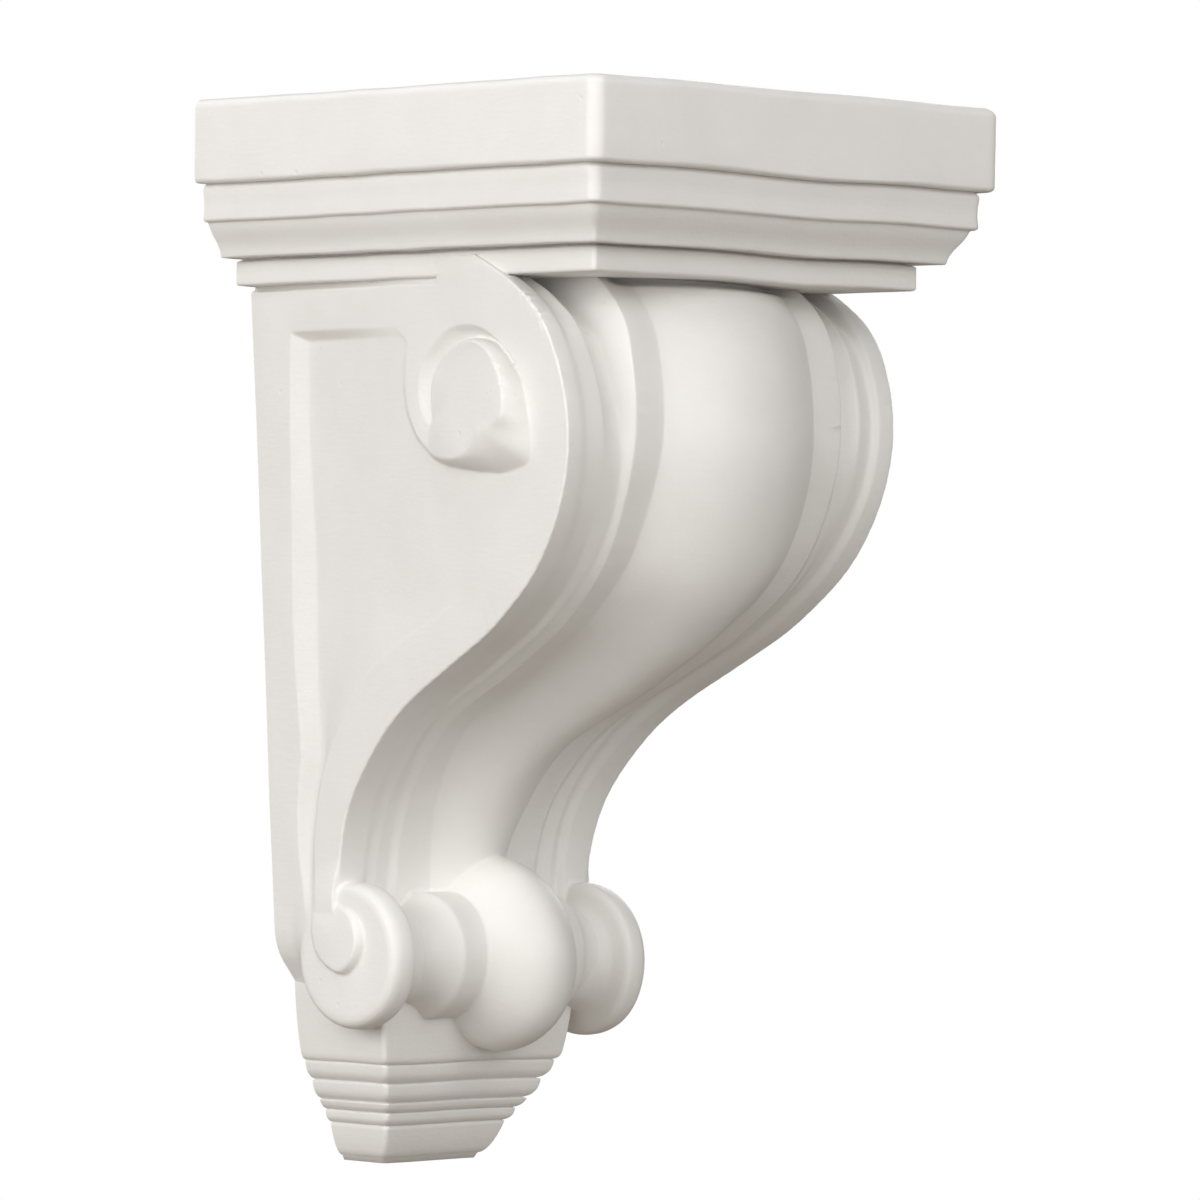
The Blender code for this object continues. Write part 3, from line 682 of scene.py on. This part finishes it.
def collar_skin():
    """The collars on both sides of the ball, each flaring out from the roller to a crisp edge."""
    x, radius = turned(COLLAR)
    turn = np.linspace(0.0, 2 * math.pi, 240, endpoint=False)
    forward = COLLAR_FORWARD + radius[:, None] * np.cos(turn)
    drop = COLLAR_DROP + radius[:, None] * np.sin(turn)
    return skin(place(COLLAR_MIDDLE + x[:, None] + 0.0 * turn, forward, drop))


def ball_skin():
    """The ball: an ellipsoid, shorter along the roller than across it, its underside leaning forward."""
    long, out_half, up_half = BALL_SIZES
    across = np.linspace(0.02, math.pi - 0.02, 110)[:, None]
    turn = np.linspace(0.0, 2 * math.pi, 180, endpoint=False)[None]
    x = BALL_MIDDLE + long * np.cos(across) + 0.0 * turn
    up = up_half * np.sin(across) * np.sin(turn)
    out = out_half * np.sin(across) * np.cos(turn)
    return skin(place(x, BALL_FORWARD + out - BALL_LEAN * up, BALL_DROP - up))


def eye_skin(side):
    """The spiral eye of a small volute: a low boss whose step is highest at the front and below."""
    turn = np.linspace(0.0, 360.0, 200, endpoint=False)
    line, rise = soft_turn(EYE_LINE, turn), soft_turn(EYE_RISE, turn, 10.0)
    middle = rise.mean()
    rings = [(line * part, middle + (rise - middle) * part / EYE_FACE + EYE_DOME * (1 - part ** 2))
             for part in np.linspace(0.01, EYE_FACE, 20)]
    rings += [(line * (EYE_FACE + (1 - EYE_FACE) * part), (rise + 0.065) * (1 - part ** 2))
              for part in np.linspace(0.1, 1.0, 9)]
    rings.append((line, np.full_like(turn, -EYE_SINK)))
    radius, height = np.array([r for r, _ in rings]), np.array([h for _, h in rings])
    forward = EYE[0] + radius * np.cos(np.radians(turn))
    drop = EYE[1] - radius * np.sin(np.radians(turn)) + AXIS_LEAN * side * DISC_FACE
    return skin(place(side * (DISC_FACE + height), forward, drop))


def mesh_of(name, skins):
    """One mesh of all the skins, in metres."""
    corners, quads, triangles, count = [], [], [], 0
    for points, fours, threes in skins:
        corners.append(points)
        quads.append(fours + count)
        triangles.append(threes + count)
        count += len(points)
    corners, quads, triangles = (np.concatenate(parts) for parts in (corners, quads, triangles))
    loops = np.concatenate([quads.ravel(), triangles.ravel()])
    mesh = bpy.data.meshes.new(name)
    mesh.vertices.add(len(corners))
    mesh.vertices.foreach_set("co", (corners * MM).astype(np.float32).ravel())
    mesh.loops.add(len(loops))
    mesh.loops.foreach_set("vertex_index", loops.astype(np.int32))
    mesh.polygons.add(len(quads) + len(triangles))
    starts = np.concatenate([4 * np.arange(len(quads)), quads.size + 3 * np.arange(len(triangles))])
    mesh.polygons.foreach_set("loop_start", starts.astype(np.int32))
    mesh.update(calc_edges=True)
    return mesh


def evaluated_mesh(piece):
    """The piece's mesh with its modifiers applied."""
    graph = bpy.context.evaluated_depsgraph_get()
    return bpy.data.meshes.new_from_object(piece.evaluated_get(graph))


def fuse(skins):
    """The skins fused into one closed skin, softened, thinned to the allowed triangles and flaked."""
    piece = bpy.data.objects.new("fusing", mesh_of("fusing", skins))
    bpy.context.scene.collection.objects.link(piece)
    remesh = piece.modifiers.new("fuse", "REMESH")
    remesh.mode = "VOXEL"
    remesh.voxel_size = VOXEL * MM * 1.0
    smooth = piece.modifiers.new("soften", "SMOOTH")
    smooth.factor = 0.5
    smooth.iterations = 1
    piece.data = evaluated_mesh(piece)
    piece.modifiers.clear()
    count = len(piece.data.polygons) * 2
    thin = piece.modifiers.new("thin", "DECIMATE")
    thin.ratio = min(1.0, TRIANGLES / count)
    thinned = evaluated_mesh(piece)
    bpy.data.objects.remove(piece)
    cut_flat(thinned)
    corners, quads, triangles = as_skin(thinned)
    return flaked(corners), quads, triangles


def as_skin(mesh):
    """A mesh as a skin: its points in millimetres, no quads, and its triangles."""
    mesh.calc_loop_triangles()
    corners = np.zeros(len(mesh.vertices) * 3, np.float32)
    mesh.vertices.foreach_get("co", corners)
    triangles = np.zeros(len(mesh.loop_triangles) * 3, np.int32)
    mesh.loop_triangles.foreach_get("vertices", triangles)
    corners = corners.reshape(-1, 3).astype(float) / MM
    return corners, np.zeros((0, 4), int), triangles.reshape(-1, 3)


def largest_part(form):
    """Points of the largest connected part of a form."""
    left, largest = set(form.verts), set()
    while left:
        part = {left.pop()}
        front = list(part)
        while front:
            beside = {end for edge in front.pop().link_edges for end in edge.verts} & left
            left -= beside
            part |= beside
            front.extend(beside)
        largest = max(largest, part, key=len)
    return largest


def cut_flat(mesh):
    """The mesh cut off at the wall and its opening filled flat; crumbs left by the thinning go."""
    form = bmesh.new()
    form.from_mesh(mesh)
    everything = form.verts[:] + form.edges[:] + form.faces[:]
    wall = Vector((0.0, high.y - BACK_INSET * MM, 0.0))
    cut = bmesh.ops.bisect_plane(form, geom=everything, plane_co=wall, plane_no=(0.0, 1.0, 0.0),
                                 clear_outer=True)
    edges = [part for part in cut["geom_cut"] if isinstance(part, bmesh.types.BMEdge)]
    bmesh.ops.triangle_fill(form, edges=edges, use_beauty=True)
    kept = largest_part(form)
    bmesh.ops.delete(form, geom=[corner for corner in form.verts if corner not in kept], context="VERTS")
    bmesh.ops.recalc_face_normals(form, faces=form.faces[:])
    form.to_mesh(mesh)
    form.free()


def node(tree, kind, **inputs):
    """A new node of a kind, with values or links for its named inputs."""
    made = tree.nodes.new(kind)
    for name, value in inputs.items():
        socket = made.inputs[name.replace("_", " ")]
        if isinstance(value, bpy.types.NodeSocket):
            tree.links.new(value, socket)
        else:
            socket.default_value = value
    return made


def primer_group():
    """Node group of brushed primer: a mottled colour and the height of its fine grain."""
    group = bpy.data.node_groups.new("brushed_primer", "ShaderNodeTree")
    face = group.interface
    face.new_socket("Light", in_out="INPUT", socket_type="NodeSocketColor")
    face.new_socket("Shade", in_out="INPUT", socket_type="NodeSocketColor")
    face.new_socket("Color", in_out="OUTPUT", socket_type="NodeSocketColor")
    face.new_socket("Height", in_out="OUTPUT", socket_type="NodeSocketFloat")
    enter, leave = group.nodes.new("NodeGroupInput"), group.nodes.new("NodeGroupOutput")
    place_of = group.nodes.new("ShaderNodeTexCoord").outputs["Object"]
    cloud = node(group, "ShaderNodeTexNoise", Vector=place_of, Scale=90.0, Detail=5.0, Roughness=0.65)
    mix = node(group, "ShaderNodeMix")
    mix.data_type = "RGBA"
    tone = node(group, "ShaderNodeMapRange", Value=cloud.outputs["Fac"], From_Min=0.3, From_Max=0.7)
    group.links.new(tone.outputs["Result"], mix.inputs["Factor"])
    group.links.new(enter.outputs["Light"], mix.inputs["A"])
    group.links.new(enter.outputs["Shade"], mix.inputs["B"])
    group.links.new(mix.outputs["Result"], leave.inputs["Color"])
    grain = node(group, "ShaderNodeTexNoise", Vector=place_of, Scale=1300.0, Detail=4.0, Roughness=0.6)
    stretch = node(group, "ShaderNodeMapping", Vector=place_of)
    stretch.inputs["Scale"].default_value = (260.0, 260.0, 1500.0)
    streak = node(group, "ShaderNodeTexNoise", Vector=stretch.outputs["Vector"], Scale=1.0, Detail=3.0)
    brushed = added(group, grain.outputs["Fac"], streak.outputs["Fac"])
    spots = node(group, "ShaderNodeTexVoronoi", Vector=place_of, Scale=260.0, Randomness=1.0)
    pits = node(group, "ShaderNodeMapRange", Value=spots.outputs["Distance"], From_Min=0.05,
                From_Max=0.17, To_Min=-3.0, To_Max=0.0)
    pits.interpolation_type = "SMOOTHSTEP"
    where = node(group, "ShaderNodeTexNoise", Vector=place_of, Scale=55.0, Detail=2.0)
    few = node(group, "ShaderNodeMapRange", Value=where.outputs["Fac"], From_Min=0.6, From_Max=0.7)
    kept = added(group, pits.outputs["Result"], few.outputs["Result"], "MULTIPLY")
    group.links.new(added(group, brushed, kept), leave.inputs["Height"])
    return group


def added(tree, first, second, operation="ADD"):
    """The output of a sum, or of another operation, of two values."""
    total = tree.nodes.new("ShaderNodeMath")
    total.operation = operation
    tree.links.new(first, total.inputs[0])
    tree.links.new(second, total.inputs[1])
    return total.outputs["Value"]


def white_primer():
    """Matt, slightly warm white primer over the cast surface."""
    material = bpy.data.materials.new("white_primer")
    material.use_nodes = True
    tree = material.node_tree
    shader = tree.nodes["Principled BSDF"]
    primer = tree.nodes.new("ShaderNodeGroup")
    primer.node_tree = primer_group()
    primer.inputs["Light"].default_value = PRIMER_LIGHT
    primer.inputs["Shade"].default_value = PRIMER_SHADE
    tree.links.new(primer.outputs["Color"], shader.inputs["Base Color"])
    bump = node(tree, "ShaderNodeBump", Strength=0.5, Distance=0.00008, Height=primer.outputs["Height"])
    tree.links.new(bump.outputs["Normal"], shader.inputs["Normal"])
    shader.inputs["Roughness"].default_value = PRIMER_ROUGHNESS
    shader.inputs["Specular IOR Level"].default_value = PRIMER_SPECULAR
    return material


def studio_white():
    """Plain floor: white to the eye, dull to what it lights."""
    material = bpy.data.materials.new("studio_white")
    material.use_nodes = True
    tree = material.node_tree
    tree.nodes.clear()
    sight = tree.nodes.new("ShaderNodeLightPath").outputs["Is Camera Ray"]
    glow = node(tree, "ShaderNodeEmission", Color=WHITE, Strength=1.0)
    matt = node(tree, "ShaderNodeBsdfDiffuse", Color=FLOOR_COLOUR)
    mix = tree.nodes.new("ShaderNodeMixShader")
    tree.links.new(sight, mix.inputs[0])
    tree.links.new(matt.outputs["BSDF"], mix.inputs[1])
    tree.links.new(glow.outputs["Emission"], mix.inputs[2])
    output = tree.nodes.new("ShaderNodeOutputMaterial")
    tree.links.new(mix.outputs["Shader"], output.inputs["Surface"])
    return material


def studio_floor():
    """Pale floor under the corbel."""
    mesh = bpy.data.meshes.new("floor")
    reach, level = FLOOR_REACH, low.z - FLOOR_GAP
    mesh.from_pydata([(-reach, -reach, level), (reach, -reach, level), (reach, reach, level),
                      (-reach, reach, level)], [], [(0, 1, 2, 3)])
    floor = bpy.data.objects.new("floor", mesh)
    floor.data.materials.append(studio_white())
    bpy.context.scene.collection.objects.link(floor)


def soft_light(name, azimuth, elevation, power):
    """A square area light that looks at the middle of the corbel, its azimuth from the front."""
    a, e = math.radians(azimuth), math.radians(elevation)
    back = Vector((math.sin(a) * math.cos(e), -math.cos(a) * math.cos(e), math.sin(e)))
    data = bpy.data.lights.new(name, "AREA")
    data.shape = "SQUARE"
    data.size = LIGHT_SIZE
    data.energy = power
    lamp = bpy.data.objects.new(name, data)
    lamp.location = AIM + back * LIGHT_DISTANCE
    lamp.rotation_euler = back.to_track_quat("Z", "Y").to_euler()
    bpy.context.scene.collection.objects.link(lamp)


def surround():
    """The world: white to the eye, a plain even warm light to the rest."""
    world = bpy.data.worlds.new("surround")
    world.use_nodes = True
    tree = world.node_tree
    back = tree.nodes["Background"]
    sight = tree.nodes.new("ShaderNodeLightPath").outputs["Is Camera Ray"]
    level = node(tree, "ShaderNodeMapRange", Value=sight)
    level.inputs["To Min"].default_value = SURROUND_LIGHT
    level.inputs["To Max"].default_value = 1.0
    tree.links.new(level.outputs["Result"], back.inputs["Strength"])
    tint = tree.nodes.new("ShaderNodeMix")
    tint.data_type = "RGBA"
    tree.links.new(sight, tint.inputs["Factor"])
    tint.inputs["A"].default_value = SURROUND_TINT
    tint.inputs["B"].default_value = WHITE
    tree.links.new(tint.outputs["Result"], back.inputs["Color"])
    bpy.context.scene.world = world


def photo_camera():
    """Camera at the photograph's angle."""
    a, e, r = (math.radians(v) for v in (CAMERA_AZIMUTH, CAMERA_ELEVATION, CAMERA_ROLL))
    back = Vector((math.sin(a) * math.cos(e), -math.cos(a) * math.cos(e), math.sin(e)))
    right = Vector((math.cos(a), math.sin(a), 0.0))
    up = back.cross(right)
    across = math.cos(r) * right + math.sin(r) * up
    upright = -math.sin(r) * right + math.cos(r) * up
    data = bpy.data.cameras.new("camera")
    data.lens = CAMERA_LENS
    data.sensor_width = CAMERA_SENSOR
    data.clip_start = 0.01
    camera = bpy.data.objects.new("camera", data)
    facing = Matrix((across, upright, back)).transposed().to_4x4()
    camera.matrix_world = Matrix.Translation(AIM + back * CAMERA_DISTANCE) @ facing
    bpy.context.scene.collection.objects.link(camera)
    bpy.context.scene.camera = camera


def keep_inside(mesh):
    """No point passes the frame's box."""
    corners = np.zeros(len(mesh.vertices) * 3, np.float32)
    mesh.vertices.foreach_get("co", corners)
    corners = np.clip(corners.reshape(-1, 3), np.array(low, np.float32), np.array(high, np.float32))
    mesh.vertices.foreach_set("co", corners.ravel())
    mesh.update()


def crisp_back(mesh):
    """The edges that lie in the flat back are shaded sharp."""
    corners = np.zeros(len(mesh.vertices) * 3, np.float32)
    mesh.vertices.foreach_get("co", corners)
    ends = np.zeros(len(mesh.edges) * 2, np.int32)
    mesh.edges.foreach_get("vertices", ends)
    at_back = corners[1::3] > high.y - 2 * BACK_INSET * MM
    sharp = mesh.attributes.new("sharp_edge", "BOOLEAN", "EDGE")
    sharp.data.foreach_set("value", at_back[ends.reshape(-1, 2)].all(axis=1))


def make_casting():
    """The whole corbel as one piece."""
    skins = [body_skin(), roller_skin(), collar_skin(), ball_skin()]
    for side in (-1, 1):
        skins += [snail_skin(side), eye_skin(side)]
    mesh = mesh_of("corbel_casting", [fuse(skins), cap_skin(), foot_skin()])
    mesh.polygons.foreach_set("use_smooth", np.ones(len(mesh.polygons), bool))
    crisp_back(mesh)
    keep_inside(mesh)
    casting = bpy.data.objects.new("corbel_casting", mesh)
    bpy.context.scene.collection.objects.link(casting)
    casting.data.materials.append(white_primer())
    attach(casting, "root")
    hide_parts("corbel")


make_casting()
photo_camera()
studio_floor()
surround()
for number, (azimuth, elevation, watts) in enumerate(LIGHTS):
    soft_light("light_%d" % number, azimuth, elevation, watts)
bpy.context.scene.view_settings.view_transform = "Standard"
